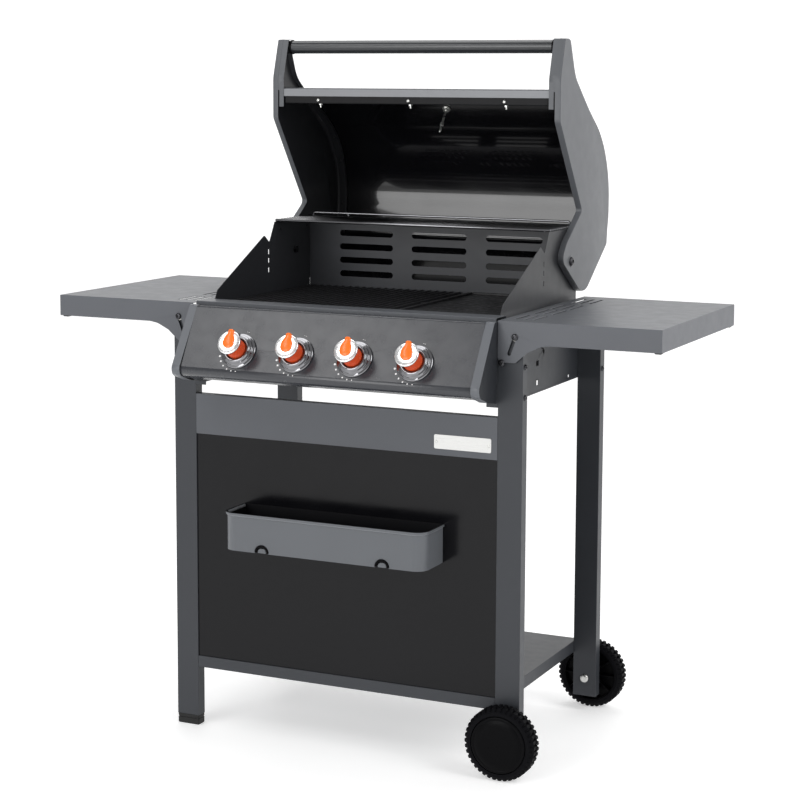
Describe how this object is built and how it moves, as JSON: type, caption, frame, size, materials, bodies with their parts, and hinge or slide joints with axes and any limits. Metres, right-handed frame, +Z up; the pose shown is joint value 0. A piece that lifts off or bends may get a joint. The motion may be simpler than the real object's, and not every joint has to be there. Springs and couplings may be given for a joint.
{
  "type": "gas barbecue grill",
  "caption": "Gas barbecue grill on a legged stand with two wheels: hinged lid, tube burners under a cast grate and griddle, folding side tables, push-and-turn knobs and a hanging basket.",
  "frame": {"origin": "on the ground, in the middle of the grill's outer box", "axes": "+X to the right seen from the front, +Y to the back, +Z up; the lid is stored open and the side tables are stored up"},
  "size_m": [1.277, 0.7321, 1.379],
  "materials": {
    "frame_paint": "fine textured powder coat",
    "table_paint": "satin grey powder coat",
    "panel_paint": "satin grey powder coat",
    "gloss_black": "glossy black enamel",
    "firebox_enamel": "satin black heat-proof enamel",
    "lid_paint": "satin dark grey paint",
    "lid_enamel": "glossy black enamel",
    "cast": "black enamelled casting",
    "steel": "brushed",
    "zinc": "bright zinc",
    "chrome": "polished",
    "handle_paint": "satin",
    "knob_orange": "satin orange-red",
    "brass": "machined",
    "ceramic": "glazed white",
    "tyre": "matt",
    "cap_plastic": "satin black",
    "foot_plastic": "matt black",
    "rubber": "matt",
    "spacer_plastic": "matt natural",
    "basket_paint": "satin dark grey paint"
  },
  "bodies": {
    "root": {"left_front_leg": "frame_paint", "left_rear_leg": "frame_paint", "right_front_leg": "frame_paint", "right_rear_leg": "frame_paint", "leg_foot_caps": "foot_plastic", "bottom_shelf": "frame_paint", "front_panel": "gloss_black", "upper_front_rail": "frame_paint", "blank_badge_plate": "steel", "lower_side_panels": "frame_paint", "frame_bolts": "zinc", "wheel_bolts": "zinc", "table_bolts": "zinc", "firebox_tub": "firebox_enamel", "firebox_back_wall": "firebox_enamel", "firebox_left_wall": "firebox_enamel", "firebox_right_wall": "firebox_enamel", "rear_grate_ledge": "firebox_enamel", "front_rim": "frame_paint", "tray_rails": "steel", "burners": "steel", "flame_tamers": "steel", "igniter_electrodes": "ceramic", "control_panel": "panel_paint", "panel_end_caps": "frame_paint", "knob_bezels": "chrome", "gas_valves": "brass", "gas_manifold": "zinc", "gas_inlet_fitting": "brass", "lid_hinge_bolts": "zinc"},
    "lid": {"lid_shell": "lid_enamel", "lid_left_end": "lid_paint", "lid_right_end": "lid_paint", "lid_front_bar": "lid_enamel", "handle_brackets": "lid_paint", "handle_bar": "handle_paint", "lid_thermometer": "steel"},
    "front_wheel_unit": {"front_wheel": "tyre", "front_wheel_cap": "cap_plastic"},
    "rear_wheel_unit": {"rear_wheel": "tyre", "rear_wheel_cap": "cap_plastic"},
    "left_pivot": {"left_pivot_spacers": "spacer_plastic"},
    "right_pivot": {"right_pivot_spacers": "spacer_plastic"},
    "left_table": {"left_side_table": "table_paint", "left_table_bumpers": "rubber"},
    "right_table": {"right_side_table": "table_paint", "right_table_bumpers": "rubber"},
    "grate": {"cooking_grate": "cast"},
    "griddle_plate": {"griddle": "cast"},
    "rack": {"warming_rack": "chrome"},
    "basket": {"front_basket": "basket_paint"},
    "tray": {"grease_tray": "steel"},
    "stem_1": {"valve_stem_1": "steel"},
    "dial_1": {"knob_1": "knob_orange"},
    "stem_2": {"valve_stem_2": "steel"},
    "dial_2": {"knob_2": "knob_orange"},
    "stem_3": {"valve_stem_3": "steel"},
    "dial_3": {"knob_3": "knob_orange"},
    "stem_4": {"valve_stem_4": "steel"},
    "dial_4": {"knob_4": "knob_orange"}
  },
  "joints": [
    {"name": "lid_hinge", "type": "hinge", "parent": "root", "child": "lid", "pos_m": [0, 0.137, 0.937], "axis": [1, 0, 0], "range_deg": [0, 90]},
    {"name": "front_wheel_spin", "type": "hinge", "parent": "root", "child": "front_wheel_unit", "pos_m": [0.3475, -0.272, 0.07], "axis": [0, 1, 0], "continuous": true},
    {"name": "rear_wheel_spin", "type": "hinge", "parent": "root", "child": "rear_wheel_unit", "pos_m": [0.3475, 0.225, 0.07], "axis": [0, 1, 0], "continuous": true},
    {"name": "left_table_fold", "type": "hinge", "parent": "root", "child": "left_pivot", "pos_m": [-0.358, 0, 0.831], "axis": [0, -1, 0], "range_deg": [0, 83]},
    {"name": "left_table_lift", "type": "slide", "parent": "left_pivot", "child": "left_table", "axis": [-0.342, 0, 0.9397], "range_m": [0, 0.033]},
    {"name": "right_table_fold", "type": "hinge", "parent": "root", "child": "right_pivot", "pos_m": [0.358, 0, 0.831], "axis": [0, 1, 0], "range_deg": [0, 83]},
    {"name": "right_table_lift", "type": "slide", "parent": "right_pivot", "child": "right_table", "axis": [0.342, 0, 0.9397], "range_m": [0, 0.033]},
    {"name": "knob_1_push", "type": "slide", "parent": "root", "child": "stem_1", "axis": [0, 0.8673, -0.4977], "range_m": [0, 0.003], "stiffness_N_per_m": 2000, "springref_m": -0.002},
    {"name": "knob_1_turn", "type": "hinge", "parent": "stem_1", "child": "dial_1", "pos_m": [-0.186, -0.3133, 0.77844], "axis": [0, -0.8673, 0.4977], "range_deg": [0, 190]},
    {"name": "knob_2_push", "type": "slide", "parent": "root", "child": "stem_2", "axis": [0, 0.8673, -0.4977], "range_m": [0, 0.003], "stiffness_N_per_m": 2000, "springref_m": -0.002},
    {"name": "knob_2_turn", "type": "hinge", "parent": "stem_2", "child": "dial_2", "pos_m": [-0.062, -0.3133, 0.77844], "axis": [0, -0.8673, 0.4977], "range_deg": [0, 190]},
    {"name": "knob_3_push", "type": "slide", "parent": "root", "child": "stem_3", "axis": [0, 0.8673, -0.4977], "range_m": [0, 0.003], "stiffness_N_per_m": 2000, "springref_m": -0.002},
    {"name": "knob_3_turn", "type": "hinge", "parent": "stem_3", "child": "dial_3", "pos_m": [0.062, -0.3133, 0.77844], "axis": [0, -0.8673, 0.4977], "range_deg": [0, 190]},
    {"name": "knob_4_push", "type": "slide", "parent": "root", "child": "stem_4", "axis": [0, 0.8673, -0.4977], "range_m": [0, 0.003], "stiffness_N_per_m": 2000, "springref_m": -0.002},
    {"name": "knob_4_turn", "type": "hinge", "parent": "stem_4", "child": "dial_4", "pos_m": [0.186, -0.3133, 0.77844], "axis": [0, -0.8673, 0.4977], "range_deg": [0, 190]},
    {"name": "grate_lift_off", "type": "slide", "parent": "root", "child": "grate", "axis": [0, 0, -1], "range_m": [-0.065, 0]},
    {"name": "griddle_lift_off", "type": "slide", "parent": "root", "child": "griddle_plate", "axis": [0, 0, -1], "range_m": [-0.065, 0]},
    {"name": "rack_lift_off", "type": "slide", "parent": "root", "child": "rack", "axis": [0, 0, -1], "range_m": [-0.05, 0]},
    {"name": "basket_lift_off", "type": "slide", "parent": "root", "child": "basket", "axis": [0, 0, -1], "range_m": [-0.025, 0]},
    {"name": "tray_slide", "type": "slide", "parent": "root", "child": "tray", "axis": [0, 1, 0], "range_m": [0, 0.3]}
  ]
}
